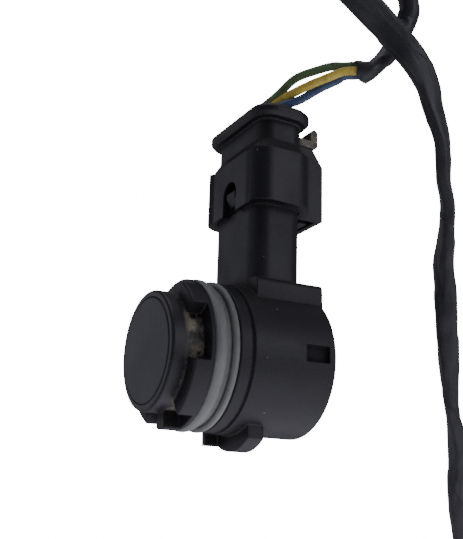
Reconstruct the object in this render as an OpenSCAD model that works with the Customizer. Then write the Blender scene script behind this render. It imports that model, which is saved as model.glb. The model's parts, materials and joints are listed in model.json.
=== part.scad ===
// Ultrasonic parking sensor with its mated plug, three wires and taped harness.
// The sensor's axis runs along Y with its face toward -Y, and the connector stands up along Z.
// The origin is on the axis, at the middle of the lip wall that fills the bumper's hole.
// Axial sizes count backwards from the membrane face.

/* [Transducer] */
// Rounding of the membrane's edge
face_edge = 0.3; // [0.1:0.05:0.6]
// Thickness of the membrane
membrane_t = 0.8; // [0.5:0.1:1.2]
// Wall of the aluminium pot
pot_wall = 0.9; // [0.6:0.1:1.4]
// Depth of the aluminium pot
pot_depth = 8; // [6:0.1:9]
// Radius of the piezo disc
piezo_r = 3.2; // [2.5:0.1:3.6]
// Thickness of the piezo disc
piezo_t = 0.4; // [0.2:0.05:0.8]
// Thickness of the damping pad
pad_t = 1.6; // [0.8:0.1:3]
// Diameter of a piezo lead
lead_d = 0.6; // [0.3:0.05:0.8]
// Distance of the signal lead from the axis
signal_lead_x = 1.5; // [0.5:0.1:2]
// Distance of the ground lead from the axis
ground_lead_x = 4.2; // [4:0.1:4.6]

/* [Decoupling ring] */
// Wall of the ring round the pot
ring_wall = 0.75; // [0.5:0.05:1]
// Length of lip wall that shows ahead of the collar
lip_show = 2.5; // [1.5:0.1:3]
// Setback of the lip behind the membrane face
lip_setback = 0.1; // [0:0.05:0.4]
// Rounding of the lip's front edge
lip_edge = 0.45; // [0.1:0.05:0.5]
// Overhang of the lip in front of the collar
lip_overhang = 0.2; // [0.1:0.05:0.3]
// Thickness of the floor behind the pot
ring_floor_t = 0.6; // [0.4:0.1:1]
// Width of the ledge behind the pot
ring_ledge = 2.2; // [1.6:0.1:2.6]

/* [Retaining collar] */
// Drop of the collar's outside below the barrel
collar_drop = 0.1; // [0:0.05:0.3]
// Length of the tabs
tab_len = 2.4; // [1.5:0.1:3.5]
// Chamfer on the collar's front edge
tab_chamfer = 0.25; // [0.1:0.05:0.5]
// Length of the closed ring behind the tabs
collar_ring_t = 0.5; // [0.4:0.05:1.5]
// Angle of each side notch
side_notch = 45; // [30:1:60]
// Angle of a side notch's middle above the level
side_notch_lift = 8; // [0:1:12]
// Angle of the top notch
top_notch = 70; // [50:1:80]
// Angle of each lower notch
lower_notch = 22; // [10:1:24]
// Angle of the bottom tab
bottom_tab = 14; // [12:1:30]
// Wall of the spigot that enters the housing
spigot_wall = 1; // [0.8:0.05:1.2]
// Length of the spigot
spigot_len = 6.5; // [5:0.1:7]
// Thickness of the floor that carries the decoupling ring
collar_floor_t = 1; // [0.6:0.1:1.2]

/* [Bumper seal] */
// Length of the seal along the axis
seal_len = 4.1; // [3.5:0.1:4.5]
// Thickness of the seal between its ribs
seal_t = 0.7; // [0.5:0.05:0.9]
// Rise of the wide front rib above the housing's step
front_rib_rise = 0.2; // [0:0.05:0.4]
// Width of the front rib
front_rib_w = 2.2; // [1.5:0.1:2.4]
// Rise of the narrow rear rib above the housing's step
rear_rib_rise = 0.15; // [0:0.05:0.4]
// Width of the rear rib
rear_rib_w = 1.2; // [0.8:0.1:1.4]

/* [Housing] */
// Depth of the step behind the seal below the barrel
step_depth = 0.15; // [0.1:0.05:0.4]
// Wall of the housing round the spigot
front_wall = 1.25; // [1:0.05:1.4]
// Length of the step
step_len = 1.8; // [1.2:0.1:2.5]
// Width of the groove behind the step
groove_w = 0.35; // [0.2:0.05:0.6]
// Depth of that groove below the step
groove_depth = 0.35; // [0.2:0.05:0.6]
// Radius of the barrel
barrel_r = 11.1; // [10.9:0.05:11.6]
// Length of the barrel behind the groove
barrel_len = 13.7; // [12:0.1:16]
// Rounding of the barrel's rear edge
barrel_edge = 0.5; // [0.2:0.1:0.8]
// Wall of the barrel
barrel_wall = 1.3; // [1.1:0.1:1.5]
// Thickness of the shoulder in front of the circuit board
shoulder_t = 2.9; // [1.5:0.1:3]
// Width of that shoulder's ledge
shoulder_ledge = 1.2; // [0.8:0.1:1.6]
// Height of a side latch pocket
pocket_h = 2.5; // [2:0.1:4]
// Length of a side latch pocket
pocket_len = 3.9; // [3:0.1:5]
// Depth of a side latch pocket
pocket_depth = 0.8; // [0.4:0.1:0.9]
// Distance of the pocket from the rear edge
pocket_inset = 1.3; // [0.7:0.1:2]
// Height of the pocket's middle above the axis
pocket_z = -0.1; // [-2:0.1:2]

/* [Saddle and lug] */
// Width of the saddle block
saddle_w = 15.1; // [14.6:0.1:16]
// Rise of the saddle's top above the barrel
saddle_rise = 0.3; // [0:0.1:0.8]
// Distance of the saddle's front behind the groove
saddle_setback = 2.3; // [1.5:0.1:2.6]
// Rounding of the saddle's edges
saddle_edge = 0.8; // [0.3:0.1:1.2]
// Rise above the barrel of the arched hoop at the saddle's front
hoop_rise = 1.8; // [1.4:0.1:2.4]
// Thickness of that hoop
hoop_t = 1.2; // [0.8:0.1:1.5]
// Width of the bottom lug
lug_w = 9.5; // [8:0.1:11]
// Reach of the bottom lug below the axis
lug_reach = 13.5; // [12.6:0.1:14.5]
// Radius of the lug's curved bottom
lug_curve = 8.3; // [7.5:0.1:10]
// Thickness of the lug
lug_t = 2.6; // [2:0.1:4]
// Thickness of the rib ahead of the lug
rib_t = 1.1; // [0.8:0.1:1.6]
// Length of that rib
rib_len = 2.1; // [1.6:0.1:2.2]
// Reach of the rib below the axis
rib_reach = 12.3; // [11.6:0.1:12.6]
// Rounding where the saddle meets the neck behind it
root_flare = 1.6; // [1:0.1:2]

/* [Connector neck] */
// Backward lean of the connector in degrees
connector_lean = 1.6; // [0:0.1:4]
// Distance of the connector behind the membrane face, on the sensor's axis
connector_s = 17.9; // [17.4:0.1:18.4]
// Width of the neck
neck_w = 14.2; // [13.8:0.1:14.8]
// Depth of the neck
neck_d = 8.5; // [8:0.1:9]
// Corner radius of the neck
neck_corner = 2.7; // [2:0.1:3]
// Height of the neck's top
neck_top = 31.2; // [30:0.1:32]
// Wall of the socket
socket_wall = 1.2; // [1:0.05:1.4]
// Height of the socket's floor
socket_floor = 16; // [15:0.1:17]
// Width of the locking nose
catch_w = 2.6; // [2:0.1:3]
// Reach of the locking nose
catch_reach = 0.7; // [0.4:0.1:0.9]
// Height of the locking nose's lower edge
catch_z = 24.4; // [23.5:0.1:25]
// Length of the locking nose
catch_len = 2.2; // [1.6:0.1:3]
// Height of the slope under the locking nose
catch_slope = 1.3; // [0.8:0.1:1.6]
// Depth of the recess round the locking nose
recess_depth = 0.6; // [0.3:0.1:0.8]
// Side of a contact pin
pin_side = 0.64; // [0.5:0.02:0.8]
// Distance of the pins' bend from the barrel's inner wall
pin_edge = 2.8; // [2.4:0.1:3.4]
// Height of the pins' tips
pin_tip = 27.4; // [25:0.1:28]

/* [Electronics] */
// Thickness of the circuit board
board_t = 1; // [0.8:0.1:1.6]
// Radius of the transformer's flanges
transformer_r = 2.5; // [2:0.1:3]
// Height of the transformer
transformer_h = 4.6; // [3:0.1:5]
// Side of the driver chip
chip_side = 5; // [4:0.1:5.5]
// Height of the driver chip
chip_h = 1.2; // [0.8:0.1:1.8]
// Distance of the transformer and the chip, at their middles, from the barrel's inner wall
component_edge = 4.1; // [3.9:0.1:4.4]
// Angle of the transformer and the chip below the level
component_angle = 42; // [36:1:48]
// Thickness of the transformer's flanges
transformer_rim = 0.7; // [0.5:0.1:1]
// Side of a chip's foot
chip_foot = 0.35; // [0.2:0.05:0.5]
// Distance between a chip's feet
chip_foot_pitch = 1; // [0.8:0.05:1.2]
// Length of a capacitor
capacitor_len = 2; // [1.4:0.1:2.4]
// Side of a capacitor
capacitor_side = 1.2; // [0.8:0.1:1.5]
// Distance between the capacitors
capacitor_pitch = 3.2; // [2.8:0.1:3.6]
// Height of the capacitors above the axis
capacitor_z = 1.6; // [1:0.1:2]
// Thickness of the potting
potting_t = 2.1; // [1.5:0.1:2.5]
// Depth of the potting below the barrel's rear edge
potting_inset = 0.5; // [0.2:0.1:1]

/* [Plug] */
// Width of the upper body
plug_w = 15.5; // [15:0.1:16]
// Depth of the upper body
plug_d = 7.7; // [7.4:0.1:8.2]
// Corner radius of the upper body
plug_corner = 2.4; // [2:0.1:3]
// Width of the skirt
skirt_w = 17.7; // [17.4:0.1:18.2]
// Front wall of the skirt
skirt_front_wall = 0.75; // [0.65:0.05:1]
// Rear wall of the skirt
skirt_rear_wall = 1; // [0.8:0.05:1.2]
// Corner radius of the skirt
skirt_corner = 3.5; // [3:0.1:4]
// Height of the skirt's lower edge
skirt_bottom = 23.1; // [22:0.1:23.4]
// Height of the skirt
skirt_h = 8.8; // [8.4:0.1:9.2]
// Height of the slope between the skirt and the upper body
skirt_ramp = 1.8; // [1:0.1:2.2]
// Relief of the side bands
band_relief = 0.5; // [0.3:0.05:0.8]
// Width of the bare front between the side bands
band_gap = 12.6; // [11.5:0.1:13.4]
// Half the run of the slope at a band's front edge
band_slope = 0.8; // [0.4:0.1:1]
// Width of the front window
window_w = 4; // [3.6:0.1:5]
// Height of the front window, arch included
window_h = 5.2; // [4.8:0.1:6.5]
// Width of the top flange
flange_w = 19.2; // [18.5:0.1:20]
// Depth of the top flange
flange_d = 10.3; // [9.8:0.1:11]
// Thickness of the top flange
flange_t = 2; // [1.5:0.1:2.5]
// Corner radius of the top flange
flange_corner = 3.7; // [3:0.1:4.5]
// Rounding of the flange's edges
flange_edge = 0.6; // [0.3:0.1:0.8]
// Shift of the flange toward the sensor's face
flange_shift = 0.15; // [0:0.05:0.4]
// Height of the flange's top
plug_top = 39.1; // [38.8:0.1:39.6]
// Width of the latch guard
guard_w = 9.3; // [8.6:0.1:10]
// Reach of the latch guard behind the connector's axis
guard_reach = 9.2; // [8.8:0.1:10]
// Wall of the latch guard
guard_wall = 0.9; // [0.7:0.1:1.2]
// Height of the guard's sloped shoulder
guard_shoulder = 32.4; // [31.8:0.1:33]
// Run of that shoulder's slope
guard_slope = 2.1; // [1.4:0.1:2.6]
// Width of the latch arm
latch_w = 4.8; // [4:0.1:5.4]
// Thickness of the latch arm
latch_t = 1; // [0.8:0.1:1.2]
// Gap between the skirt and the latch arm
latch_gap = 0.8; // [0.5:0.1:1]
// Depth of the latch arm's hook
latch_hook = 0.5; // [0.3:0.1:0.7]
// Height of that hook
latch_hook_h = 3; // [2:0.1:4]
// Height of the nose's lower end
nose_bottom = 19.2; // [18:0.1:20]
// Corner radius of the nose
nose_corner = 1; // [0.5:0.1:1.4]
// Wall of the nose beside the outer terminals
nose_wall = 0.6; // [0.4:0.05:0.8]

/* [Seals, lock and terminals] */
// Length of the plug's ring seal
ring_seal_len = 3; // [2:0.1:3.4]
// Thickness of that seal
ring_seal_t = 0.7; // [0.5:0.05:0.9]
// Depth of that seal below the socket's rim
ring_seal_inset = 1; // [0.6:0.1:1.4]
// Width of the secondary lock
lock_w = 9.2; // [8:0.1:10]
// Thickness of the secondary lock
lock_t = 1.3; // [1:0.1:1.4]
// Reach of the lock behind the connector's axis
lock_reach = 8.3; // [8:0.1:9]
// Drop of the lock below the flange
lock_drop = 0.3; // [0.2:0.05:0.5]
// Wall between the lock and the wire seals
lock_wall = 0.4; // [0.3:0.05:0.6]
// Rise of the lock's turned-up lip
lock_lip = 2; // [0.5:0.1:2.4]
// Side of a terminal's box
terminal_side = 1.7; // [1.5:0.05:1.8]
// Height of a terminal's lower end
terminal_bottom = 19.8; // [19.4:0.1:20.2]
// Height of the end of a terminal's box
terminal_top = 28.6; // [28.4:0.1:29]
// Height of the end of a terminal's crimp
crimp_top = 32.6; // [31.6:0.1:33]
// Radius of a wire seal
wire_seal_r = 1.35; // [1.2:0.05:1.5]
// Length of a wire seal
wire_seal_len = 4.2; // [3:0.1:4.6]
// Depth of a wire seal below the flange's top
wire_seal_inset = 1.4; // [0.8:0.1:1.6]
// Height of a wire seal's ribs
wire_seal_rib = 0.2; // [0.1:0.05:0.3]
// Number of ribs on a wire seal
wire_seal_ribs = 3; // [2:1:4]
// Wall of a terminal's crimp
crimp_wall = 0.35; // [0.25:0.05:0.4]

/* [Wires and harness] */
// Diameter of a wire
wire_d = 1.4; // [1.2:0.1:1.5]
// Diameter of the taped branch lead
branch_d = 3.4; // [3.2:0.1:3.4]
// Diameter of the taped harness trunk
trunk_d = 3.6; // [3:0.1:3.8]

/* [Fits] */
// Clearance between the pot, its ring and the collar
stretch_fit = 0.05; // [0.02:0.01:0.1]
// Clearance between the collar's spigot and the housing
spigot_fit = 0.1; // [0.05:0.01:0.2]
// Clearance round the neck inside the skirt
plug_fit = 0.15; // [0.1:0.01:0.2]
// Clearance of small pieces in their holes
hole_fit = 0.1; // [0.05:0.01:0.15]
// Clearance of a wire in its bore
wire_fit = 0.2; // [0.1:0.05:0.3]

/* [Hidden] */
$fn = 64;
// Overshoot of a cutter past the surface that it opens
over = 0.5;

// Places along the sensor's axis
collar_front_s = lip_setback + lip_show;
notch_floor_s = collar_front_s + tab_len;
seal_front_s = notch_floor_s + collar_ring_t;
housing_front_s = seal_front_s + seal_len + stretch_fit;
step_end_s = housing_front_s + step_len;
barrel_front_s = step_end_s + groove_w;
rear_s = barrel_front_s + barrel_len;
spigot_end_s = seal_front_s + spigot_len;
bore_end_s = spigot_end_s + spigot_fit;
board_front_s = bore_end_s + shoulder_t;
board_rear_s = board_front_s + board_t;
ring_floor_s = pot_depth + stretch_fit;
ring_end_s = ring_floor_s + ring_floor_t;
collar_floor_s = ring_end_s + stretch_fit;
potting_end_s = rear_s - potting_inset;
saddle_front_s = barrel_front_s + saddle_setback;
origin_s = (lip_setback + lip_edge + collar_front_s) / 2;

// Radii of the sensor, from the barrel inwards
step_r = barrel_r - step_depth;
front_rib_r = step_r + front_rib_rise;
rear_rib_r = step_r + rear_rib_rise;
collar_r = barrel_r - collar_drop;
housing_bore_r = step_r - front_wall;
spigot_r = housing_bore_r - spigot_fit;
seal_r = spigot_r + stretch_fit + seal_t;
collar_bore_r = spigot_r - spigot_wall;
ring_seat_r = collar_bore_r - stretch_fit;
lip_r = ring_seat_r + lip_overhang;
ring_bore_r = ring_seat_r - ring_wall;
ring_eye_r = ring_bore_r - ring_ledge;
face_r = ring_bore_r - stretch_fit;
pot_bore_r = face_r - pot_wall;
cavity_r = barrel_r - barrel_wall;
shoulder_r = cavity_r - shoulder_ledge;

// Places that follow the barrel
saddle_top = barrel_r + saddle_rise;
hoop_r = barrel_r + hoop_rise;
pin_bend = cavity_r - pin_edge;
component_r = cavity_r - component_edge;
component_x = component_r * cos(component_angle);
component_drop = component_r * sin(component_angle);

// Sections of the connector, as width along X and depth along its own Y
socket_w = neck_w - 2 * socket_wall;
socket_d = neck_d - 2 * socket_wall;
nose_gap = hole_fit + ring_seal_t + stretch_fit;
nose_w = socket_w - 2 * nose_gap;
nose_d = socket_d - 2 * nose_gap;
contact_pitch = (nose_w - terminal_side) / 2 - nose_wall;
skirt_bore_w = neck_w + 2 * plug_fit;
skirt_bore_d = neck_d + 2 * plug_fit;
skirt_front = -skirt_bore_d / 2 - skirt_front_wall;
skirt_rear = skirt_bore_d / 2 + skirt_rear_wall;
skirt_top = skirt_bottom + skirt_h;
skirt_roof = neck_top + hole_fit;
body_top = plug_top - flange_t;
lock_top = body_top - lock_drop;
lock_bottom = lock_top - lock_t;
guard_top = lock_bottom - hole_fit;
seal_seat = plug_top - wire_seal_inset - wire_seal_len;
lock_start = wire_seal_r + lock_wall;
crimp_r = wire_d / 2 + crimp_wall;
CONTACT_X = [-contact_pitch, 0, contact_pitch];

// Route points of the cords, chosen by hand
LEAD_MOUTH = [12.5, 28, 46.5];
LEAD_RUN = [0.6, 0.8, 0];
BRANCH_ROUTE = [LEAD_MOUTH, LEAD_MOUTH + 2 * LEAD_RUN, [13.5, 32, 48.5], [12.5, 35, 52], [13.5, 36, 54.5],
    [14, 37.5, 57.5], [15, 37.5, 60], [15, 35.5, 65], [15, 30.5, 66.5], [15, 25.5, 64.5], [15, 24, 62.5]];
TRUNK_ROUTE = [[14.5, 20.5, 62.5], [15, 23, 60], [16, 26.5, 57], [16.5, 31.5, 53], [17.5, 35.5, 48.5],
    [17, 38.5, 45], [16.5, 40, 41], [16, 42, 36], [14, 43.5, 30.5], [13, 45, 26.5], [11.5, 45.5, 21],
    [10, 46, 17.5], [8.5, 47.5, 12], [6, 49.5, 2.5], [4.5, 51, -3.5], [2.5, 53.5, -11.5], [0.5, 55, -18.5],
    [-1, 56.5, -25], [-2.5, 57.5, -29.5]];
GREEN_FREE = [[-3, 18.5, 43], [1.5, 20, 45], [4.5, 21.5, 47], [7, 24, 48], [9.5, 25.5, 48]];
YELLOW_FREE = [[1, 18.5, 42], [4, 20, 43.5], [7.5, 22, 44.5], [10.5, 24.5, 45.5]];
BLUE_FREE = [[3.5, 19, 41.5], [6, 21.5, 42.5], [8, 24.5, 44], [10, 26.5, 45]];
GREEN_SEAT = [0, 0, 0.85];
YELLOW_SEAT = [0.6, -0.45, -0.45];
BLUE_SEAT = [-0.6, 0.45, -0.45];
CORD_SIDES = 8;
// A direction that no cord follows, used to keep its rings from turning
CORD_SIDE = [0.8, -0.5, -0.3];

// Placing
module axial(s = 0) {
    translate([0, s - origin_s, 0]) rotate([-90, 0, 0]) children();
}

module on_connector(z = 0) {
    translate([0, connector_s - origin_s, 0]) rotate([-connector_lean, 0, 0]) translate([0, 0, z])
        children();
}

function connector_point(p) = [
    p.x,
    connector_s - origin_s + p.y * cos(connector_lean) + p.z * sin(connector_lean),
    p.z * cos(connector_lean) - p.y * sin(connector_lean)
];

// Shapes that repeat
function arc(centre, r, from, to, steps = 6) = [
    for (i = [0 : steps])
        let (a = from + (to - from) * i / steps)
            centre + r * [cos(a), sin(a)]
];

module revolve(points) {
    axial() rotate_extrude($fn = 128) polygon(points);
}

module disc(s, length, r) {
    axial(s) cylinder(h = length, r = r, $fn = 128);
}

module rounded(w, d, r) {
    square([w - 2 * r, d], center = true);
    square([w, d - 2 * r], center = true);
    for (x = [-1, 1], y = [-1, 1])
        translate([x * (w / 2 - r), y * (d / 2 - r)]) circle(r);
}

module sector(s, length, middle, width) {
    reach = 2 * collar_r;
    axial(s) linear_extrude(length)
        polygon(concat([[0, 0]], arc([0, 0], reach, -middle - width / 2, -middle + width / 2)));
}

module along_x(w) {
    translate([-w / 2, 0, 0]) rotate([90, 0, 90]) linear_extrude(w) children();
}

module post(x, s, length, d) {
    translate([x, 0, 0]) axial(s) cylinder(h = length, d = d, $fn = 24);
}

// Tubes swept along a route
function unit(v) = v / norm(v);
function heading(p, i) = unit(p[min(i + 1, len(p) - 1)] - p[max(i - 1, 0)]);
function ring_points(p, i, r) =
    let (
        t = heading(p, i),
        side = unit(cross(t, CORD_SIDE)),
        up = cross(t, side)
    )
    [for (k = [0 : CORD_SIDES - 1])
        p[i] + r * (cos(360 * k / CORD_SIDES) * side + sin(360 * k / CORD_SIDES) * up)];

module swept_tube(p, d) {
    n = CORD_SIDES;
    last = (len(p) - 1) * n;
    points = [for (i = [0 : len(p) - 1]) each ring_points(p, i, d / 2)];
    walls = [for (i = [0 : len(p) - 2], k = [0 : n - 1])
        let (a = i * n + k, b = i * n + (k + 1) % n)
            each [[a, b + n, b], [a, a + n, b + n]]];
    start = [for (k = [0 : n - 1]) k];
    end = [for (k = [n - 1 : -1 : 0]) last + k];
    polyhedron(points, concat(walls, [start, end]), convexity = 10);
}

// Transducer
module membrane_pot() {
    color("#3a3b3f") revolve(concat(
        [[0, 0]],
        arc([face_r - face_edge, face_edge], face_edge, -90, 0),
        [[face_r, pot_depth], [pot_bore_r, pot_depth], [pot_bore_r, membrane_t], [0, membrane_t]]));
}

module decoupling_ring() {
    color("#1b1b1e") revolve(concat(
        [[ring_bore_r, lip_setback]],
        arc([lip_r - lip_edge, lip_setback + lip_edge], lip_edge, -90, 0),
        [[lip_r, collar_front_s], [ring_seat_r, collar_front_s], [ring_seat_r, ring_end_s],
         [ring_eye_r, ring_end_s], [ring_eye_r, ring_floor_s], [ring_bore_r, ring_floor_s]]));
}

module piezo_disc() {
    color("#b9a45a") disc(membrane_t, piezo_t, piezo_r);
}

module damping_pad() {
    color("#4b4d52") difference() {
        disc(membrane_t + piezo_t, pad_t, pot_bore_r - hole_fit);
        post(-signal_lead_x, membrane_t, pad_t + over, lead_d + 2 * hole_fit);
        post(ground_lead_x, membrane_t, pad_t + over, lead_d + 2 * hole_fit);
    }
}

module signal_lead() {
    start = membrane_t + piezo_t;
    color("#c46a2d") post(-signal_lead_x, start, board_front_s + board_t / 2 - start, lead_d);
}

module ground_lead() {
    color("#2d2f33") post(ground_lead_x, membrane_t, board_front_s + board_t / 2 - membrane_t, lead_d);
}

// Collar and seal
module retaining_collar() {
    lower_middle = (bottom_tab + lower_notch) / 2;
    notches = [
        [side_notch_lift, side_notch], [180 - side_notch_lift, side_notch], [90, top_notch],
        [-90 - lower_middle, lower_notch], [-90 + lower_middle, lower_notch]
    ];
    color("#202124") difference() {
        revolve([
            [collar_bore_r, collar_front_s],
            [collar_r - tab_chamfer, collar_front_s],
            [collar_r, collar_front_s + tab_chamfer],
            [collar_r, seal_front_s],
            [spigot_r, seal_front_s],
            [spigot_r, spigot_end_s],
            [collar_bore_r, spigot_end_s],
            [collar_bore_r, collar_floor_s + collar_floor_t],
            [ring_eye_r, collar_floor_s + collar_floor_t],
            [ring_eye_r, collar_floor_s],
            [collar_bore_r, collar_floor_s]
        ]);
        for (notch = notches)
            sector(collar_front_s - over, tab_len + over, notch[0], notch[1]);
    }
}

module bumper_seal() {
    front_middle = seal_front_s + front_rib_w / 2;
    rear_middle = seal_front_s + seal_len - rear_rib_w / 2;
    color("#8f9492") revolve(concat(
        [[spigot_r + stretch_fit, seal_front_s]],
        rib_outline(front_middle, front_rib_w, front_rib_r),
        rib_outline(rear_middle, rear_rib_w, rear_rib_r),
        [[spigot_r + stretch_fit, seal_front_s + seal_len]]));
}

function rib_outline(middle, w, r) = concat(
    [[seal_r, middle - w / 2]],
    [for (a = [-75 : 15 : 75]) [seal_r + (r - seal_r) * cos(a), middle + w / 2 * sin(a)]],
    [[seal_r, middle + w / 2]]);

// Housing
module barrel() {
    groove_r = step_r - groove_depth;
    revolve(concat(
        [[0, housing_front_s], [step_r, housing_front_s], [step_r, step_end_s],
         [groove_r, step_end_s], [groove_r, barrel_front_s], [barrel_r, barrel_front_s]],
        arc([barrel_r - barrel_edge, rear_s - barrel_edge], barrel_edge, 0, 90),
        [[0, rear_s]]));
}

module saddle() {
    length = rear_s - saddle_front_s;
    axial(saddle_front_s) linear_extrude(length) saddle_section();
    axial(saddle_front_s) linear_extrude(hoop_t) intersection() {
        circle(hoop_r, $fn = 128);
        translate([-saddle_w / 2, -2 * hoop_r]) square([saddle_w, 2 * hoop_r]);
    }
}

module saddle_section() {
    r = saddle_edge;
    translate([-saddle_w / 2, -saddle_top + r]) square([saddle_w, saddle_top - r]);
    translate([-saddle_w / 2 + r, -saddle_top]) square([saddle_w - 2 * r, saddle_top]);
    for (side = [-1, 1])
        translate([side * (saddle_w / 2 - r), -saddle_top + r]) circle(r);
}

module lug() {
    axial(saddle_front_s) linear_extrude(lug_t) intersection() {
        translate([0, lug_reach - lug_curve]) circle(lug_curve, $fn = 96);
        translate([-lug_w / 2, 0]) square([lug_w, lug_reach]);
    }
    axial(saddle_front_s - rib_len) linear_extrude(rib_len + lug_t / 2)
        translate([-lug_w / 2 - rib_t / 2, 0]) square([rib_t, rib_reach]);
}

module neck() {
    difference() {
        on_connector(cavity_r / 2) linear_extrude(neck_top - cavity_r / 2)
            rounded(neck_w, neck_d, neck_corner);
        on_connector(skirt_bottom) catch_recess();
    }
    neck_root();
    on_connector(catch_z) catch();
}

module neck_root() {
    flare = root_flare;
    on_connector(saddle_top) translate([0, neck_d / 2, 0])
        along_x(neck_w - 2 * neck_corner) difference() {
            translate([-over, -over]) square([flare + over, flare + over]);
            translate([flare, flare]) circle(flare);
        }
}

module catch_recess() {
    w = window_w + 2 * plug_fit;
    translate([-w / 2, -neck_d / 2 - over, 0]) cube([w, recess_depth + over, window_h + plug_fit]);
}

module catch() {
    root = (recess_depth + socket_wall) / 2 - neck_d / 2;
    along_x(catch_w)
        polygon([[root, 0], [-neck_d / 2, 0], [-neck_d / 2 - catch_reach, catch_slope],
                 [-neck_d / 2 - catch_reach, catch_len], [root, catch_len]]);
}

module pockets() {
    for (side = [-1, 1])
        translate([side * barrel_r, rear_s - pocket_inset - pocket_len / 2 - origin_s, pocket_z])
            cube([2 * pocket_depth, pocket_len, pocket_h], center = true);
}

module pin_holes() {
    side = pin_side + 2 * hole_fit;
    for (x = CONTACT_X)
        on_connector(pin_bend + over) translate([x - side / 2, -side / 2, 0])
            cube([side, side, socket_floor]);
}

module housing() {
    color("#232427") difference() {
        union() {
            barrel();
            saddle();
            lug();
            neck();
        }
        disc(housing_front_s - over, bore_end_s - housing_front_s + over, housing_bore_r);
        disc(bore_end_s - over, shoulder_t + 2 * over, shoulder_r);
        disc(board_front_s, rear_s - board_front_s + over, cavity_r);
        on_connector(socket_floor) linear_extrude(neck_top)
            rounded(socket_w, socket_d, neck_corner - socket_wall);
        pockets();
        pin_holes();
    }
}

// Electronics
module circuit_board() {
    color("#2f6b3c") difference() {
        disc(board_front_s, board_t, cavity_r - hole_fit);
        post(-signal_lead_x, board_front_s - over, board_t + 2 * over, lead_d + 2 * hole_fit);
        post(ground_lead_x, board_front_s - over, board_t + 2 * over, lead_d + 2 * hole_fit);
        for (x = CONTACT_X)
            translate([0, 0, pin_leg_z()])
                post(x, board_front_s - over, board_t + 2 * over, 2 * pin_side + 2 * hole_fit);
    }
}

function pin_leg_z() = let (back = connector_s - board_front_s - board_t / 2)
    pin_bend * cos(connector_lean) + back * sin(connector_lean);

module transformer() {
    rim = transformer_rim;
    color("#3b3330") translate([-component_x, board_rear_s - origin_s, -component_drop])
        rotate([-90, 0, 0]) rotate_extrude() polygon([
            [0, 0], [transformer_r, 0], [transformer_r, rim], [transformer_r - rim, rim],
            [transformer_r - rim, transformer_h - rim], [transformer_r, transformer_h - rim],
            [transformer_r, transformer_h], [0, transformer_h]]);
}

module driver_chip() {
    foot = chip_foot;
    color("#17181a") translate([component_x, board_rear_s - origin_s, -component_drop]) {
        translate([-chip_side / 2, foot / 2, -chip_side / 2]) cube([chip_side, chip_h, chip_side]);
        for (side = [-1, 1], i = [-1.5 : 1 : 1.5])
            translate([side * chip_side / 2 - foot, 0, i * chip_foot_pitch - foot / 2])
                cube([2 * foot, foot, foot]);
    }
}

module capacitors() {
    body = [capacitor_len, capacitor_side, capacitor_side];
    color("#a58a5c") for (i = [-1, 0, 1])
        translate([i * capacitor_pitch - body.x / 2, board_rear_s - origin_s, capacitor_z]) cube(body);
}

module contact_pin(x) {
    leg = connector_s - board_front_s + over;
    color("#c9b26a") on_connector() translate([x - pin_side / 2, 0, 0]) {
        translate([0, -pin_side / 2, pin_bend - pin_side / 2])
            cube([pin_side, pin_side, pin_tip - pin_bend + pin_side / 2]);
        translate([0, -leg, pin_bend - pin_side / 2]) cube([pin_side, leg, pin_side]);
    }
}

module contact_pin_left() { contact_pin(CONTACT_X[0]); }
module contact_pin_middle() { contact_pin(CONTACT_X[1]); }
module contact_pin_right() { contact_pin(CONTACT_X[2]); }

module potting_cap() {
    color("#141416") disc(potting_end_s - potting_t, potting_t, cavity_r - stretch_fit);
}

// Plug
module skirt() {
    d = skirt_rear - skirt_front;
    middle = (skirt_rear + skirt_front) / 2;
    w = plug_w + 2 * band_relief;
    on_connector(skirt_bottom) {
        translate([0, middle, 0]) linear_extrude(skirt_h) rounded(w, d, skirt_corner);
        linear_extrude(skirt_h) difference() {
            translate([0, middle - band_relief / 2]) rounded(skirt_w, d + band_relief, skirt_corner);
            bare_front();
        }
    }
    on_connector(skirt_top - over) hull() {
        translate([0, middle, 0]) linear_extrude(over) rounded(w, d, skirt_corner, $fn = 32);
        linear_extrude(skirt_ramp + over) rounded(plug_w, plug_d, plug_corner, $fn = 32);
    }
}

module bare_front() {
    near = band_gap / 2 - band_slope;
    far = band_gap / 2 + 2 * band_slope;
    inner = skirt_front + band_relief;
    outer = skirt_front - 2 * band_relief;
    polygon([[-near, 0], [near, 0], [near, inner], [far, outer], [-far, outer], [-near, inner]]);
}

module flange() {
    edge = flange_edge;
    on_connector(body_top) translate([0, -flange_shift, 0]) hull() {
        translate([0, 0, edge]) linear_extrude(flange_t - 2 * edge)
            rounded(flange_w, flange_d, flange_corner, $fn = 32);
        linear_extrude(flange_t)
            rounded(flange_w - 2 * edge, flange_d - 2 * edge, flange_corner - edge, $fn = 32);
    }
}

module guard_outline(top, reach) {
    polygon([[0, skirt_bottom], [reach, skirt_bottom], [reach, guard_shoulder],
             [reach - guard_slope, top], [0, top]]);
}

module guard() {
    inner_reach = guard_reach - guard_wall;
    on_connector() {
        difference() {
            along_x(guard_w) guard_outline(guard_top, guard_reach);
            along_x(guard_w - 2 * guard_wall) translate([0, skirt_bottom - over])
                square([inner_reach, guard_shoulder - skirt_bottom + over]);
        }
        along_x(latch_w) latch_profile();
    }
}

module latch_profile() {
    inner = skirt_rear + latch_gap;
    outer = inner + latch_t;
    root = guard_shoulder + over;
    polygon([[inner, root], [inner, skirt_bottom], [outer + latch_hook, skirt_bottom],
             [outer, skirt_bottom + latch_hook_h], [outer, root]]);
}

module front_window() {
    on_connector(skirt_bottom) translate([0, -neck_d / 2, 0]) rotate([90, 0, 0])
        linear_extrude(neck_d) {
            translate([0, window_h - window_w / 2]) circle(window_w / 2);
            translate([-window_w / 2, -over]) square([window_w, window_h - window_w / 2 + over]);
        }
}

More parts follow.
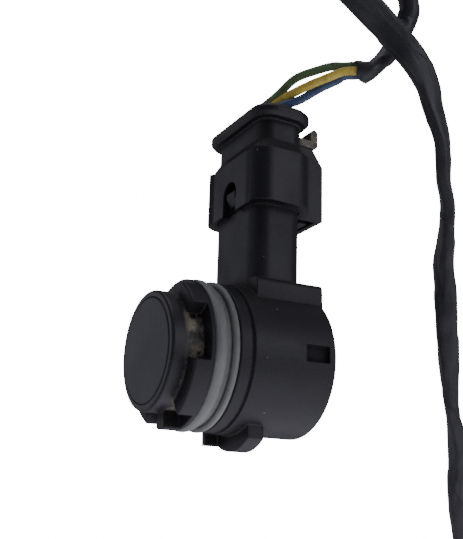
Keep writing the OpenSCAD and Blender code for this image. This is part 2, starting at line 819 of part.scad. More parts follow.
module terminal_cavity(x) {
    side = terminal_side + 2 * hole_fit;
    on_connector(nose_bottom) translate([x, 0, 0]) {
        translate([-side / 2, -side / 2, -over]) cube([side, side, terminal_top - nose_bottom + over]);
        cylinder(h = crimp_top - nose_bottom + hole_fit, r = crimp_r + hole_fit);
        cylinder(h = plug_top, d = wire_d + 2 * wire_fit);
    }
    on_connector(seal_seat) translate([x, 0, 0]) cylinder(h = plug_top, r = wire_seal_r + stretch_fit);
}

module lock_slot() {
    on_connector(lock_bottom - hole_fit) translate([-lock_w / 2 - hole_fit, lock_start, 0])
        cube([lock_w + 2 * hole_fit, plug_d, lock_t + 2 * hole_fit]);
}

module plug_housing() {
    color("#26272b") difference() {
        union() {
            skirt();
            on_connector(skirt_roof) linear_extrude(body_top - skirt_roof + over)
                rounded(plug_w, plug_d, plug_corner);
            flange();
            guard();
        }
        on_connector(skirt_bottom - over) difference() {
            linear_extrude(skirt_roof - skirt_bottom + over)
                rounded(skirt_bore_w, skirt_bore_d, neck_corner + plug_fit);
            translate([0, 0, -plug_top]) linear_extrude(2 * plug_top) rounded(nose_w, nose_d, nose_corner);
        }
        front_window();
        lock_slot();
        for (x = CONTACT_X)
            terminal_cavity(x);
    }
}

module plug_seal() {
    color("#b0602c") on_connector(neck_top - ring_seal_inset - ring_seal_len) difference() {
        linear_extrude(ring_seal_len)
            rounded(socket_w - 2 * hole_fit, socket_d - 2 * hole_fit, neck_corner - socket_wall);
        translate([0, 0, -over]) linear_extrude(ring_seal_len + 2 * over)
            rounded(nose_w + 2 * stretch_fit, nose_d + 2 * stretch_fit, nose_corner);
    }
}

module secondary_lock() {
    start = lock_start + hole_fit;
    bend = lock_reach - lock_t / 2;
    middle = lock_bottom + lock_t / 2;
    color("#8a8375") on_connector() along_x(lock_w) {
        translate([start, lock_bottom]) square([bend - start, lock_t]);
        translate([bend - lock_t / 2, middle]) square([lock_t, lock_lip]);
        for (z = [middle, middle + lock_lip])
            translate([bend, z]) circle(lock_t / 2);
    }
}

// Terminals, wire seals and wires
module terminal(x) {
    side = terminal_side;
    slot = pin_side + 2 * hole_fit;
    crimp_bore = wire_d / 2 + stretch_fit;
    color("#b8a56a") on_connector() translate([x, 0, 0]) difference() {
        union() {
            translate([-side / 2, -side / 2, terminal_bottom])
                cube([side, side, terminal_top - terminal_bottom]);
            translate([0, 0, terminal_top - over])
                cylinder(h = crimp_top - terminal_top + over, r = crimp_r);
        }
        translate([-slot / 2, -slot / 2, terminal_bottom - over])
            cube([slot, slot, pin_tip + 2 * over - terminal_bottom]);
        translate([0, 0, terminal_top + over]) cylinder(h = plug_top, r = crimp_bore);
    }
}

module terminal_left() { terminal(CONTACT_X[0]); }
module terminal_middle() { terminal(CONTACT_X[1]); }
module terminal_right() { terminal(CONTACT_X[2]); }

module wire_seal(x) {
    pitch = wire_seal_len / wire_seal_ribs;
    rib_w = pitch / 2;
    color("#c8743a") on_connector(seal_seat) translate([x, 0, 0]) rotate_extrude() difference() {
        union() {
            square([wire_seal_r - wire_seal_rib, wire_seal_len]);
            for (i = [0 : wire_seal_ribs - 1])
                translate([0, i * pitch + rib_w / 2]) square([wire_seal_r, rib_w]);
        }
        translate([0, -over]) square([wire_d / 2 + stretch_fit, wire_seal_len + 2 * over]);
    }
}

module wire_seal_left() { wire_seal(CONTACT_X[0]); }
module wire_seal_middle() { wire_seal(CONTACT_X[1]); }
module wire_seal_right() { wire_seal(CONTACT_X[2]); }

module wire(x, free, seat) {
    inside = [for (z = [terminal_top + 2 * over, seal_seat, plug_top]) connector_point([x, 0, z])];
    mouth = [for (back = [2, 0]) LEAD_MOUTH + seat - back * LEAD_RUN];
    swept_tube(concat(inside, free, mouth), wire_d);
}

module wire_green() { color("#5a7a50") wire(CONTACT_X[0], GREEN_FREE, GREEN_SEAT); }
module wire_yellow() { color("#b9983a") wire(CONTACT_X[1], YELLOW_FREE, YELLOW_SEAT); }
module wire_blue() { color("#3c5f94") wire(CONTACT_X[2], BLUE_FREE, BLUE_SEAT); }

module branch_lead() { color("#2a2a2d") swept_tube(BRANCH_ROUTE, branch_d); }
module harness_trunk() { color("#2a2a2d") swept_tube(TRUNK_ROUTE, trunk_d); }

membrane_pot();
decoupling_ring();
piezo_disc();
damping_pad();
signal_lead();
ground_lead();
retaining_collar();
bumper_seal();
housing();
circuit_board();
transformer();
driver_chip();
capacitors();
contact_pin_left();
contact_pin_middle();
contact_pin_right();
potting_cap();
plug_housing();
plug_seal();
secondary_lock();
terminal_left();
terminal_middle();
terminal_right();
wire_seal_left();
wire_seal_middle();
wire_seal_right();
wire_green();
wire_yellow();
wire_blue();
branch_lead();
harness_trunk();
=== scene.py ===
"""Looks of the parking sensor, its plug and its taped harness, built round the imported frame."""

import json
import math

import bpy
from mathutils import Matrix, Vector, noise


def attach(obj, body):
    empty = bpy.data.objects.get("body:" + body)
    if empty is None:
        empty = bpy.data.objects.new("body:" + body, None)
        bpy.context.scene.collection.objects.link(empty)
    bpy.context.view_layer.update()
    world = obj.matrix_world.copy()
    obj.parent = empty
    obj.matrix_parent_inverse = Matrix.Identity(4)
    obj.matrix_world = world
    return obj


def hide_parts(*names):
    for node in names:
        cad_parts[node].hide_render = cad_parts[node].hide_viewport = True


MM = 0.001
BODY = "root"

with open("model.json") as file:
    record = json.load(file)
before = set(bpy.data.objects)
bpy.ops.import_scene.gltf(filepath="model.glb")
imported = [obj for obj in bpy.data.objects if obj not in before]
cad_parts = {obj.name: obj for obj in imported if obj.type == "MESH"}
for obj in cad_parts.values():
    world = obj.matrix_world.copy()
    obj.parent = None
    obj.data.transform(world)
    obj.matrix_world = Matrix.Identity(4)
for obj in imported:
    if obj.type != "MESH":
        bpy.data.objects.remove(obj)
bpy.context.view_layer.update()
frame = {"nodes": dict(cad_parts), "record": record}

# Camera, as worked out from the photograph
CAMERA_AT = Vector((124.01, -55.885, -28.37)) * MM
CAMERA_AZIMUTH = 61.18
CAMERA_ELEVATION = -16.72
CAMERA_ROLL = 0.44
LENS_MM = 64.22
SENSOR_MM = 36.0
CLIP = (0.005, 20)

# Floor and background: what the camera sees of them is paler than the light they give
FLOOR_Z = -75 * MM
FLOOR_SIZE = 12.0
FLOOR_TONES = ((0.9, 0.9, 0.9), (0.94, 0.94, 0.94))
FLOOR_SEEN = 1.1
WORLD_SEEN = 16.0
WORLD_LIGHT = 0.13
WORLD_TINT = (0.86, 0.87, 1, 1)

# Soft lights: place and aim in metres, size and watts
LIGHT_TINT = (0.88, 0.865, 1.0)
LIGHTS = {
    "left_softbox": ((-0.42, -0.22, 0.11), (0, 0.01, 0.015), 0.4, 0.17),
    "right_softbox": ((0.45, 0.26, 0.16), (0, 0.015, 0.015), 0.4, 0.55),
    "top_softbox": ((0.05, 0.0, 0.5), (0, 0.015, 0.02), 0.5, 0.6),
    "front_fill": ((-0.1, -0.5, 0.12), (0, 0.01, 0.01), 0.35, 0.18),
    "low_back": ((0.22, 0.3, -0.072), (0.22, 0.3, 0.5), 0.3, 0.2),
    "low_left": ((-0.28, -0.22, -0.072), (-0.28, -0.22, 0.5), 0.3, 0.14),
    "low_fill": ((0.04, 0.06, -0.072), (0.04, 0.06, 0.5), 0.2, 0.085),
}

# The lengths from here to the shader helpers are in millimetres

# Connector axis: where it crosses the sensor's axis, its lean, and heights along it
CONNECTOR_Y = 16.325
CONNECTOR_LEAN = math.radians(1.6)
CONTACT_PITCH = 3.6
CRIMP_Z, SEAL_Z, PLUG_TOP_Z = 29.6, 33.5, 39.1

# Latch pockets of the barrel, and the radii between which its surface ends and they begin
POCKET_FRONT, POCKET_REAR, POCKET_HALF = 18.6, 22.7, 1.5
POCKET_RIM = (11.05, 10.9)

# Radii between which the painted face ends in a groove, darkened there with painted shade
FACE_RIM = (7.5, 7.66)

# Places along the sensor's axis between which mud sets in on the ring
MUD_STARTS = (0.4, 1.6)

# Routes of the cords through the same points as the solids, apart from the blue wire's free run,
# which lies a little nearer to the yellow wire
LEAD_MOUTH = Vector((12.5, 28, 46.5))
LEAD_RUN = Vector((0.6, 0.8, 0))
BRANCH_ROUTE = [
    LEAD_MOUTH, LEAD_MOUTH + 2 * LEAD_RUN, (13.5, 32, 48.5), (12.5, 35, 52), (13.5, 36, 54.5),
    (14, 37.5, 57.5), (15, 37.5, 60), (15, 35.5, 65), (15, 30.5, 66.5), (15, 25.5, 64.5),
    (15, 24, 62.5),
]
TRUNK_ROUTE = [
    (14.5, 20.5, 62.5), (15, 23, 60), (16, 26.5, 57), (16.5, 31.5, 53), (17.5, 35.5, 48.5),
    (17, 38.5, 45), (16.5, 40, 41), (16, 42, 36), (14, 43.5, 30.5), (13, 45, 26.5),
    (11.5, 45.5, 21), (10, 46, 17.5), (8.5, 47.5, 12), (6, 49.5, 2.5), (4.5, 51, -3.5),
    (2.5, 53.5, -11.5), (0.5, 55, -18.5), (-1, 56.5, -25), (-2.5, 57.5, -29.5),
]
WIRES = {
    "green": {
        "x": -CONTACT_PITCH,
        "free": [(-3, 18.5, 43), (1.5, 20, 45), (4.5, 21.5, 47), (7, 24, 48), (9.5, 25.5, 48)],
        "seat": Vector((0, 0, 0.85)),
        "length": 39,
    },
    "yellow": {
        "x": 0,
        "free": [(1, 18.5, 42), (4, 20, 43.5), (7.5, 22, 44.5), (10.5, 24.5, 45.5)],
        "seat": Vector((0.6, -0.45, -0.45)),
        "length": 34,
    },
    "blue": {
        "x": CONTACT_PITCH,
        "free": [(3.8, 18.8, 41.5), (5.6, 21.6, 42.7), (7.7, 24.3, 44.6), (9.8, 26, 45.4)],
        "seat": Vector((-0.6, 0.45, -0.45)),
        "length": 32,
    },
}
WIRE_D = 1.4
WIRE_UNEVEN = 0.03
# How far a wire keeps its seat in the mouth on its way into the lead
WIRE_TUCK = 0.6

# Spacing of the rings of a cord's mesh, and points in each ring
WIRE_STEP, WIRE_SIDES = 0.5, 16
BRANCH_STEP, BRANCH_SIDES = 0.3, 40
TRUNK_STEP, TRUNK_SIDES = 0.4, 64

# Direction that sets where the angles round a cord's section start, roughly toward the camera
SECTION_FACES = Vector((0.8, -0.5, -0.3))

# Tape: height of each overlap, share of a turn in which it rises, and depth of the dents
WRAP_HEIGHT = 0.16
WRAP_EDGE = 0.04
DENT_DEPTH = 0.1

# Lead: half its depth, length of its flared mouth, how hollow its ends are, pitch of its tape
BRANCH_HALF = 1.5
MOUTH_LENGTH = 4.0
MOUTH_INSET = 0.9
BRANCH_PITCH = 6.5

# Trunk: half the thickness of its flat section, how square that is, and pitch of its tape
TRUNK_HALF = 1.05
TRUNK_SQUARE = 3.2
TRUNK_PITCH = 15.0
# Distance along the trunk, and quarter turns of its section there
TRUNK_QUARTERS = [(0, -0.4), (14, 0), (49, 1), (67, 2), (82, 3), (95, 4), (107, 5)]


# Helpers for shaders
class Shader:
    """A material with a principled shader and short calls to add nodes to it."""

    def __init__(self, name):
        self.material = bpy.data.materials.new(name)
        self.material.use_nodes = True
        self.tree = self.material.node_tree
        self.surface = self.tree.nodes["Principled BSDF"]
        self.place = self.add("ShaderNodeTexCoord").outputs["Object"]

    def add(self, kind, **settings):
        node = self.tree.nodes.new(kind)
        for key, value in settings.items():
            setattr(node, key, value)
        return node

    def feed(self, socket, value):
        if isinstance(value, bpy.types.NodeSocket):
            self.tree.links.new(value, socket)
        else:
            socket.default_value = value

    def noise(self, size_mm, detail=3.0, roughness=0.55, stretch=None):
        """Noise whose features are about size_mm across."""
        node = self.add("ShaderNodeTexNoise")
        self.feed(node.inputs["Scale"], 1000.0 / size_mm)
        self.feed(node.inputs["Detail"], detail)
        self.feed(node.inputs["Roughness"], roughness)
        place = self.place
        if stretch:
            mapping = self.add("ShaderNodeMapping")
            self.feed(mapping.inputs["Vector"], place)
            mapping.inputs["Scale"].default_value = stretch
            place = mapping.outputs["Vector"]
        self.feed(node.inputs["Vector"], place)
        return node.outputs["Fac"]

    def ramp(self, value, low, high, to_low=0.0, to_high=1.0):
        node = self.add("ShaderNodeMapRange")
        self.feed(node.inputs["Value"], value)
        self.feed(node.inputs["From Min"], low)
        self.feed(node.inputs["From Max"], high)
        self.feed(node.inputs["To Min"], to_low)
        self.feed(node.inputs["To Max"], to_high)
        return node.outputs["Result"]

    def math(self, operation, a, b=0.0):
        node = self.add("ShaderNodeMath", operation=operation)
        self.feed(node.inputs[0], a)
        self.feed(node.inputs[1], b)
        return node.outputs["Value"]

    def blend(self, factor, a, b, share=1.0):
        """Color b laid over color a where factor is 1, by no more than share."""
        if share != 1.0:
            factor = self.math("MULTIPLY", factor, share)
        node = self.add("ShaderNodeMix", data_type="RGBA")
        self.feed(node.inputs["Factor"], factor)
        for key, value in (("A", a), ("B", b)):
            socket = [s for s in node.inputs if s.name == key and s.type == "RGBA"][0]
            self.feed(socket, value if isinstance(value, bpy.types.NodeSocket) else (*value, 1.0))
        return [s for s in node.outputs if s.type == "RGBA"][0]

    def edges(self, radius_mm):
        """A rounded normal, and a mask that is 1 along edges."""
        bevel = self.add("ShaderNodeBevel", samples=6)
        self.feed(bevel.inputs["Radius"], radius_mm * MM)
        plain = self.add("ShaderNodeNewGeometry").outputs["Normal"]
        dot = self.add("ShaderNodeVectorMath", operation="DOT_PRODUCT")
        self.feed(dot.inputs[0], bevel.outputs["Normal"])
        self.feed(dot.inputs[1], plain)
        return bevel.outputs["Normal"], self.ramp(dot.outputs["Value"], 0.995, 0.8)

    def crevice(self, reach_mm):
        """A mask that is 1 in corners and recesses."""
        node = self.add("ShaderNodeAmbientOcclusion", samples=8)
        self.feed(node.inputs["Distance"], reach_mm * MM)
        return self.ramp(node.outputs["AO"], 0.92, 0.5)

    def along(self, axis):
        """Coordinate along X, Y or Z."""
        split = self.add("ShaderNodeSeparateXYZ")
        self.feed(split.inputs["Vector"], self.place)
        return split.outputs[axis]

    def radius(self):
        """Distance from the sensor's axis."""
        across = self.add("ShaderNodeVectorMath", operation="MULTIPLY")
        self.feed(across.inputs[0], self.place)
        across.inputs[1].default_value = (1, 0, 1)
        length = self.add("ShaderNodeVectorMath", operation="LENGTH")
        self.feed(length.inputs[0], across.outputs["Vector"])
        return length.outputs["Value"]

    def pocket(self):
        """A mask that is 1 in the two latch pockets of the barrel."""
        mask = self.ramp(self.radius(), *(r * MM for r in POCKET_RIM))
        depth = self.along("Y")
        level = self.math("ABSOLUTE", self.along("Z"))
        for operation, value, limit in (("GREATER_THAN", depth, POCKET_FRONT),
                                        ("LESS_THAN", depth, POCKET_REAR),
                                        ("LESS_THAN", level, POCKET_HALF)):
            mask = self.math("MULTIPLY", mask, self.math(operation, value, limit * MM))
        return mask

    def bump(self, height, depth_mm, normal=None):
        node = self.add("ShaderNodeBump")
        self.feed(node.inputs["Height"], height)
        node.inputs["Distance"].default_value = depth_mm * MM
        node.inputs["Strength"].default_value = 1.0
        if normal is not None:
            self.feed(node.inputs["Normal"], normal)
        return node.outputs["Normal"]

    def finish(self, color, roughness, normal=None):
        self.feed(self.surface.inputs["Base Color"], color)
        self.feed(self.surface.inputs["Roughness"], roughness)
        if normal is not None:
            self.feed(self.surface.inputs["Normal"], normal)
        return self.material


# Colors of dirt, of painted shade, and of dust mixed with painted fill light
DUST = (0.03, 0.028, 0.026)
PAINTED_SHADE = (0.002, 0.002, 0.002)
SPECK = (0.13, 0.13, 0.125)
SLOT_DUST_AND_FILL = (0.07, 0.068, 0.072)
MUD = (0.36, 0.31, 0.225)
DRY_SILT = (0.12, 0.12, 0.098)


def moulded_plastic(name, base, worn_and_highlight, roughness, pockets=False):
    """Dark moulded plastic with fine grain, handling marks, edges lightened by wear and a painted
    highlight, painted shade in recesses, and dust with painted fill light in narrow slots.
    """
    s = Shader(name)
    normal, edge = s.edges(0.4)
    cloud = s.ramp(s.noise(9, 4), 0.42, 0.72)
    marks = s.ramp(s.noise(1.2, 5, 0.7, (1, 1, 6)), 0.56, 0.75)
    recess = s.crevice(2.2)
    # Edges lighter: part wear, part a painted highlight along the rounded edges
    color = s.blend(edge, base, worn_and_highlight, 0.7)
    color = s.blend(marks, color, worn_and_highlight, 0.2)
    color = s.blend(cloud, color, DUST, 0.25)
    # Painted shade: darker in corners and recesses
    color = s.blend(recess, color, PAINTED_SHADE, 0.6)
    # Narrow slots and grooves lightened: dust, with painted fill light that softens their shade
    color = s.blend(s.crevice(0.5), color, SLOT_DUST_AND_FILL, 0.8)
    color = s.blend(s.ramp(s.noise(0.9, 1), 0.785, 0.81), color, SPECK)
    rough = s.ramp(marks, 0, 1, roughness, roughness - 0.08)
    rough = s.math("ADD", s.math("MULTIPLY", cloud, 0.12), rough)
    rough = s.math("ADD", rough, s.math("MULTIPLY", recess, 0.3))
    if pockets:
        shade = s.pocket()
        # Painted shade in the latch pockets of the barrel
        color = s.blend(shade, color, PAINTED_SHADE, 0.6)
        rough = s.math("ADD", rough, s.math("MULTIPLY", shade, 0.18))
    grain = s.bump(s.noise(0.16, 2), 0.012, normal)
    return s.finish(color, rough, grain)


def membrane_paint(name):
    """Satin dark paint with faint orange peel, a few fine specks, a painted highlight along its
    rounded edges and painted shade in the groove at its rim.
    """
    s = Shader(name)
    normal, edge = s.edges(0.12)
    specks = s.ramp(s.noise(0.55, 1), 0.74, 0.8)
    cloud = s.noise(7, 3)
    color = s.blend(s.ramp(cloud, 0.35, 0.7), (0.018, 0.0185, 0.0215), (0.025, 0.0255, 0.0295))
    # Painted highlight: lighter along the rounded edges
    color = s.blend(edge, color, (0.045, 0.045, 0.05), 0.5)
    color = s.blend(specks, color, (0.07, 0.07, 0.07), 0.5)
    # Painted shade in the groove at the rim of the face
    color = s.blend(s.ramp(s.radius(), *(r * MM for r in FACE_RIM)), color, PAINTED_SHADE)
    peel = s.bump(s.noise(0.5, 2), 0.006, normal)
    return s.finish(color, s.ramp(cloud, 0.3, 0.7, 0.42, 0.52), peel)


def ring_rubber(name):
    """Black silicone, with dried mud where the collar's notches leave it bare."""
    s = Shader(name)
    behind = s.ramp(s.along("Y"), *(y * MM for y in MUD_STARTS))
    crust = s.ramp(s.noise(1.6, 5, 0.65), 0.36, 0.56)
    mud = s.math("MULTIPLY", behind, crust)
    color = s.blend(s.ramp(s.noise(5, 3), 0.4, 0.7), (0.008, 0.008, 0.0095), (0.014, 0.014, 0.015))
    silt = s.blend(s.ramp(s.noise(3.5, 3), 0.42, 0.6), DRY_SILT, MUD)
    color = s.blend(mud, color, silt)
    grain = s.bump(s.noise(0.3, 3), 0.02)
    return s.finish(color, s.ramp(mud, 0, 1, 0.42, 0.95), grain)


def seal_silicone(name):
    """Grey silicone with a soft sheen, painted shade mixed with dirt between the ribs, and a faint
    translucency.
    """
    s = Shader(name)
    # Painted shade between the ribs, made uneven like dirt
    darkening = s.math("MULTIPLY", s.crevice(1.0), s.ramp(s.noise(2.4, 4), 0.3, 0.65, 0.6, 1.0))
    tone = s.ramp(s.noise(6, 3), 0.35, 0.7)
    color = s.blend(tone, (0.18, 0.186, 0.172), (0.255, 0.263, 0.24))
    color = s.blend(darkening, color, (0.05, 0.045, 0.04), 0.75)
    s.surface.inputs["Subsurface Weight"].default_value = 0.15
    s.surface.inputs["Subsurface Radius"].default_value = (0.0008, 0.0008, 0.0007)
    return s.finish(color, s.ramp(tone, 0, 1, 0.4, 0.55), s.bump(s.noise(0.35, 3), 0.015))


def wire_cover(name, base, stain):
    """Wire insulation with a soft gloss and handling dirt."""
    s = Shader(name)
    darkening = s.ramp(s.noise(1.8, 5, 0.65), 0.48, 0.72)
    tone = s.ramp(s.noise(4, 2), 0.35, 0.7, 0.0, 0.35)
    color = s.blend(tone, base, tuple(min(1, 1.5 * c) for c in base))
    color = s.blend(darkening, color, stain, 0.6)
    return s.finish(color, s.ramp(darkening, 0, 1, 0.38, 0.7), s.bump(s.noise(0.4, 2), 0.012))


def cloth_tape(name):
    """Charcoal harness tape with a fine weave and dusty folds."""
    s = Shader(name)
    weave = s.add("ShaderNodeTexWave", wave_type="BANDS", bands_direction="DIAGONAL")
    s.feed(weave.inputs["Vector"], s.place)
    s.feed(weave.inputs["Scale"], 900.0)
    s.feed(weave.inputs["Distortion"], 1.5)
    cloud = s.ramp(s.noise(6, 5, 0.6), 0.38, 0.7)
    fine = s.noise(0.35, 4, 0.7)
    color = s.blend(cloud, (0.014, 0.014, 0.0165), (0.032, 0.032, 0.036))
    color = s.blend(s.ramp(fine, 0.55, 0.75), color, (0.075, 0.073, 0.07), 0.35)
    height = s.math("ADD", s.math("MULTIPLY", weave.outputs["Fac"], 0.4), fine)
    s.surface.inputs["Sheen Weight"].default_value = 0.12
    return s.finish(color, s.ramp(cloud, 0, 1, 0.36, 0.52), s.bump(height, 0.016))


def lock_plastic(name):
    """Pale plastic that road dirt has turned brown, lighter along its edges, with painted shade in
    its corners.
    """
    s = Shader(name)
    normal, edge = s.edges(0.25)
    darkening = s.ramp(s.noise(1.5, 5, 0.65), 0.3, 0.62)
    color = s.blend(darkening, (0.34, 0.31, 0.235), (0.1, 0.085, 0.055))
    color = s.blend(edge, color, (0.44, 0.41, 0.33), 0.5)
    # Painted shade in its corners, in the dark brown of its dirt
    color = s.blend(s.crevice(2.5), color, (0.03, 0.024, 0.016), 0.85)
    return s.finish(color, s.ramp(darkening, 0, 1, 0.45, 0.85), s.bump(s.noise(0.3, 3), 0.02, normal))


def plain_inner(name, low, high, roughness, metallic=0.0, grain_mm=0.3):
    """Material of a piece inside the sensor: two tones and a fine grain."""
    s = Shader(name)
    color = s.blend(s.ramp(s.noise(1.5, 4), 0.35, 0.7), low, high)
    s.surface.inputs["Metallic"].default_value = metallic
    rough = s.ramp(s.noise(0.8, 3), 0.3, 0.7, roughness - 0.08, roughness + 0.08)
    return s.finish(color, rough, s.bump(s.noise(grain_mm, 3), 0.01))


# Shapes of the cords
def smooth_path(points, step):
    """Points about step apart on a smooth curve through the given ones."""
    p = [Vector(q) for q in points]
    p = [2 * p[0] - p[1]] + p + [2 * p[-1] - p[-2]]
    out = []
    for a, b, c, d in zip(p, p[1:], p[2:], p[3:]):
        count = max(1, round((c - b).length / step))
        ta, tb = (c - a) / 2, (d - b) / 2
        for i in range(count):
            t = i / count
            out.append((2 * t**3 - 3 * t**2 + 1) * b + (t**3 - 2 * t**2 + t) * ta
                       + (3 * t**2 - 2 * t**3) * c + (t**3 - t**2) * tb)
    return out + [p[-2]]


def path_frames(path):
    """Tangent and two normals at each point, turned as little as possible."""
    tangents = [(path[min(i + 1, len(path) - 1)] - path[max(i - 1, 0)]).normalized()
                for i in range(len(path))]
    side = tangents[0].cross(SECTION_FACES).normalized()
    frames = []
    for t in tangents:
        side = (side - side.dot(t) * t).normalized()
        frames.append((t, side, t.cross(side)))
    return frames


def tube_mesh(name, path, section, sides, cap_inset=0.0):
    """Closed tube along path: section(i, distance, angle) gives (offset outwards, shift along)."""
    frames = path_frames(path)
    verts, faces = [], []
    distance = 0.0
    for i, (p, (t, u, v)) in enumerate(zip(path, frames)):
        if i:
            distance += (p - path[i - 1]).length
        for k in range(sides):
            angle = 2 * math.pi * k / sides
            out, along = section(i, distance, angle)
            verts.append((p + out * (math.cos(angle) * u + math.sin(angle) * v) + along * t) * MM)
    for i in range(len(path) - 1):
        for k in range(sides):
            a, b = i * sides + k, i * sides + (k + 1) % sides
            faces.append((a, b, b + sides, a + sides))
    last = (len(path) - 1) * sides
    for ring, point, inward in ((0, path[0], frames[0][0]), (last, path[-1], -frames[-1][0])):
        centre = len(verts)
        verts.append((point + cap_inset * inward) * MM)
        for k in range(sides):
            a, b = ring + k, ring + (k + 1) % sides
            faces.append((centre, b, a) if ring == 0 else (centre, a, b))
    mesh = bpy.data.meshes.new(name)
    mesh.from_pydata(verts, [], faces)
    mesh.polygons.foreach_set("use_smooth", [True] * len(faces))
    mesh.update()
    piece = bpy.data.objects.new(name, mesh)
    bpy.context.scene.collection.objects.link(piece)
    return piece


def connector_point(x, z):
    """A point in the middle plane of the leaning connector, at height z along it."""
    return Vector((x, CONNECTOR_Y + z * math.sin(CONNECTOR_LEAN), z * math.cos(CONNECTOR_LEAN)))


def make_wire(color, facts):
    """A wire from its crimp in the plug, through the air, into the mouth of the lead."""
    inside = [connector_point(facts["x"], z) for z in (CRIMP_Z, SEAL_Z, PLUG_TOP_Z)]
    mouth = [LEAD_MOUTH + facts["seat"] + run * LEAD_RUN for run in (-2, 0)]
    taped = [Vector(p) + WIRE_TUCK * facts["seat"] for p in BRANCH_ROUTE[1:3]]
    path = smooth_path(inside + facts["free"] + mouth + taped, WIRE_STEP)

    def section(i, distance, angle):
        lump = noise.noise(path[i] * 0.45 + Vector((angle, 0, 0)))
        return WIRE_D / 2 * (1 + WIRE_UNEVEN * lump), 0.0

    name = "wire_" + color
    piece = tube_mesh(name + "_cover", path, section, WIRE_SIDES)
    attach(piece, BODY)
    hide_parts(name)
    return piece


def wrap_step(distance, angle, pitch):
    """Relief of a spiral wrap: high at each overlap, falling away behind it."""
    turn = (distance / pitch + angle / (2 * math.pi)) % 1.0
    rise = min(1.0, turn / WRAP_EDGE)
    return WRAP_HEIGHT * rise * (1 - turn)


def dents(point, angle, scale, spread, seed):
    """Uneven relief of a taped surface: spread is its variety round the section."""
    around = Vector((spread * math.cos(angle), spread * math.sin(angle), seed))
    return DENT_DEPTH * noise.noise(point * scale + around)


def ease(value, low, high):
    """Smooth step from 0 at low to 1 at high."""
    t = min(1.0, max(0.0, (value - low) / (high - low)))
    return t * t * (3 - 2 * t)


def oval(angle, a, b, power=2.0):
    """Radius of an oval with half-axes a, at angle 0, and b; a higher power squares its corners."""
    return (abs(math.cos(angle) / a)**power + abs(math.sin(angle) / b)**power)**(-1 / power)


def make_branch():
    """The taped lead: a flared mouth, torn at its low side, then an oval that fills out."""
    path = smooth_path(BRANCH_ROUTE, BRANCH_STEP)

    def section(i, distance, angle):
        flare = 1 - ease(distance, 0.0, MOUTH_LENGTH)
        low_side = max(0.0, math.cos(angle))
        across = 1.2 + 0.25 * ease(distance, 5, 9) + 0.3 * ease(distance, 12, 16)
        radius = oval(angle, across, BRANCH_HALF) + flare * (0.3 + 0.5 * low_side)
        radius += wrap_step(distance, angle, BRANCH_PITCH)
        radius += dents(path[i], angle, scale=0.9, spread=2.5, seed=3)
        torn = flare**3 * (0.35 * math.sin(3 * angle + 1) + 0.9 * low_side)
        return radius, torn

    piece = tube_mesh("branch_tape", path, section, BRANCH_SIDES, cap_inset=MOUTH_INSET)
    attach(piece, BODY)
    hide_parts("branch_lead")
    return piece


def twist_at(distance):
    """Turn of the trunk's flat section at a distance along it."""
    for (a, before), (b, after) in zip(TRUNK_QUARTERS, TRUNK_QUARTERS[1:]):
        if distance <= b:
            break
    return -math.pi / 2 * (before + (after - before) * (distance - a) / (b - a))


def make_trunk():
    """The taped trunk: a flat section, grooved along its faces, that twists on its way down."""
    path = smooth_path(TRUNK_ROUTE, TRUNK_STEP)

    def section(i, distance, angle):
        half_width = 2.0 + 0.3 * ease(distance, 4, 12) - 0.65 * ease(distance, 18, 40)
        twist = twist_at(distance)
        radius = oval(angle - twist, half_width, TRUNK_HALF, TRUNK_SQUARE)
        radius *= 0.93 + 0.13 * abs(math.sin(angle - twist - 0.7))**0.6
        radius += wrap_step(distance, angle, TRUNK_PITCH)
        radius += dents(path[i], angle, scale=0.35, spread=1.6, seed=7)
        return radius, 0.0

    piece = tube_mesh("trunk_tape", path, section, TRUNK_SIDES)
    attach(piece, BODY)
    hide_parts("harness_trunk")
    return piece


# Stage
def make_camera():
    azimuth, elevation = math.radians(CAMERA_AZIMUTH), math.radians(CAMERA_ELEVATION)
    roll = math.radians(CAMERA_ROLL)
    forward = Vector((-math.cos(elevation) * math.sin(azimuth),
                      math.cos(elevation) * math.cos(azimuth), -math.sin(elevation)))
    level = Vector((math.cos(azimuth), math.sin(azimuth), 0))
    upright = level.cross(forward)
    right = math.cos(roll) * level + math.sin(roll) * upright
    up = math.cos(roll) * upright - math.sin(roll) * level
    data = bpy.data.cameras.new("camera")
    data.lens, data.sensor_width = LENS_MM, SENSOR_MM
    data.clip_start, data.clip_end = CLIP
    camera = bpy.data.objects.new("camera", data)
    turn = Matrix((right, up, -forward)).transposed().to_4x4()
    camera.matrix_world = Matrix.Translation(CAMERA_AT) @ turn
    bpy.context.scene.collection.objects.link(camera)
    bpy.context.scene.camera = camera


def make_light(name, at, aim, size, watts):
    data = bpy.data.lights.new(name, "AREA")
    data.shape, data.size, data.energy, data.color = "DISK", size, watts, LIGHT_TINT
    light = bpy.data.objects.new(name, data)
    light.location = at
    light.visible_camera = False
    light.rotation_euler = (Vector(aim) - Vector(at)).to_track_quat("-Z", "Y").to_euler()
    bpy.context.scene.collection.objects.link(light)


def make_floor():
    half = FLOOR_SIZE / 2
    mesh = bpy.data.meshes.new("floor")
    mesh.from_pydata([(-half, -half, FLOOR_Z), (half, -half, FLOOR_Z), (half, half, FLOOR_Z),
                      (-half, half, FLOOR_Z)], [], [(0, 1, 2, 3)])
    floor = bpy.data.objects.new("floor", mesh)
    s = Shader("pale_floor")
    tone = s.blend(s.noise(60, 2), *FLOOR_TONES)
    seen = s.add("ShaderNodeLightPath").outputs["Is Camera Ray"]
    s.surface.inputs["Emission Color"].default_value = (1, 1, 1, 1)
    s.feed(s.surface.inputs["Emission Strength"], s.math("MULTIPLY", seen, FLOOR_SEEN))
    mesh.materials.append(s.finish(tone, 0.7))
    bpy.context.scene.collection.objects.link(floor)


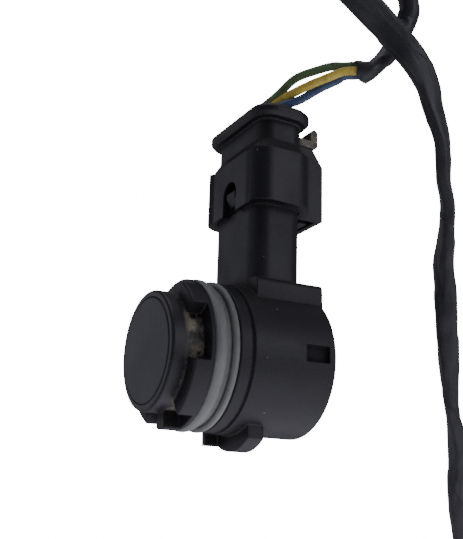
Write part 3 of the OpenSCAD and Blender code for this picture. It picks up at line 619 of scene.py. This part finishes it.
def make_world():
    world = bpy.data.worlds.new("studio")
    world.use_nodes = True
    tree = world.node_tree
    tree.nodes.clear()
    out = tree.nodes.new("ShaderNodeOutputWorld")
    mix = tree.nodes.new("ShaderNodeMixShader")
    seen, light = tree.nodes.new("ShaderNodeBackground"), tree.nodes.new("ShaderNodeBackground")
    seen.inputs["Color"].default_value = (1, 1, 1, 1)
    seen.inputs["Strength"].default_value = WORLD_SEEN
    light.inputs["Color"].default_value = WORLD_TINT
    light.inputs["Strength"].default_value = WORLD_LIGHT
    path = tree.nodes.new("ShaderNodeLightPath")
    tree.links.new(path.outputs["Is Camera Ray"], mix.inputs[0])
    tree.links.new(light.outputs[0], mix.inputs[1])
    tree.links.new(seen.outputs[0], mix.inputs[2])
    tree.links.new(mix.outputs[0], out.inputs["Surface"])
    bpy.context.scene.world = world


make_camera()
make_world()
make_floor()
for light_name, light_facts in LIGHTS.items():
    make_light(light_name, *light_facts)

# Finishes by material slot
FINISH = {
    "membrane": membrane_paint("membrane_paint"),
    "ring_rubber": ring_rubber("ring_rubber"),
    "black_plastic": moulded_plastic("black_plastic", (0.0046, 0.0043, 0.0064),
                                     (0.016, 0.0155, 0.0195), 0.46, pockets=True),
    "plug_plastic": moulded_plastic("plug_plastic", (0.005, 0.0047, 0.007),
                                    (0.017, 0.0165, 0.021), 0.42),
    "seal_silicone": seal_silicone("seal_silicone"),
    "lock_plastic": lock_plastic("lock_plastic"),
    "wire_green": wire_cover("wire_green", (0.13, 0.22, 0.092), (0.05, 0.045, 0.03)),
    "wire_yellow": wire_cover("wire_yellow", (0.74, 0.55, 0.085), (0.12, 0.085, 0.03)),
    "wire_blue": wire_cover("wire_blue", (0.055, 0.098, 0.195), (0.03, 0.035, 0.045)),
    "cloth_tape": cloth_tape("cloth_tape"),
    "piezo": plain_inner("piezo", (0.45, 0.4, 0.28), (0.62, 0.58, 0.45), 0.4),
    "damping": plain_inner("damping", (0.06, 0.06, 0.065), (0.1, 0.1, 0.1), 0.9),
    "lead_wire": plain_inner("lead_wire", (0.5, 0.27, 0.13), (0.65, 0.4, 0.22), 0.35, 1.0),
    "board": plain_inner("board", (0.02, 0.09, 0.04), (0.03, 0.13, 0.05), 0.4),
    "ferrite": plain_inner("ferrite", (0.03, 0.028, 0.027), (0.06, 0.05, 0.048), 0.6),
    "chip": plain_inner("chip", (0.012, 0.012, 0.013), (0.022, 0.022, 0.024), 0.55),
    "capacitor": plain_inner("capacitor", (0.3, 0.2, 0.1), (0.42, 0.3, 0.17), 0.5),
    "contact": plain_inner("contact", (0.55, 0.5, 0.38), (0.7, 0.65, 0.5), 0.3, 1.0),
    "potting": plain_inner("potting", (0.008, 0.008, 0.009), (0.02, 0.02, 0.021), 0.35, 0.0, 1.2),
    "orange_silicone": plain_inner("orange_silicone", (0.4, 0.14, 0.04), (0.5, 0.2, 0.07), 0.5),
}


def give_finish(piece, slot_name):
    piece.data.materials.clear()
    piece.data.materials.append(FINISH[slot_name])


for part in frame["record"]["subparts"]:
    give_finish(frame["nodes"][part["node"]], part["material_slot"])

for color, facts in WIRES.items():
    give_finish(make_wire(color, facts), "wire_" + color)
give_finish(make_branch(), "cloth_tape")
give_finish(make_trunk(), "cloth_tape")
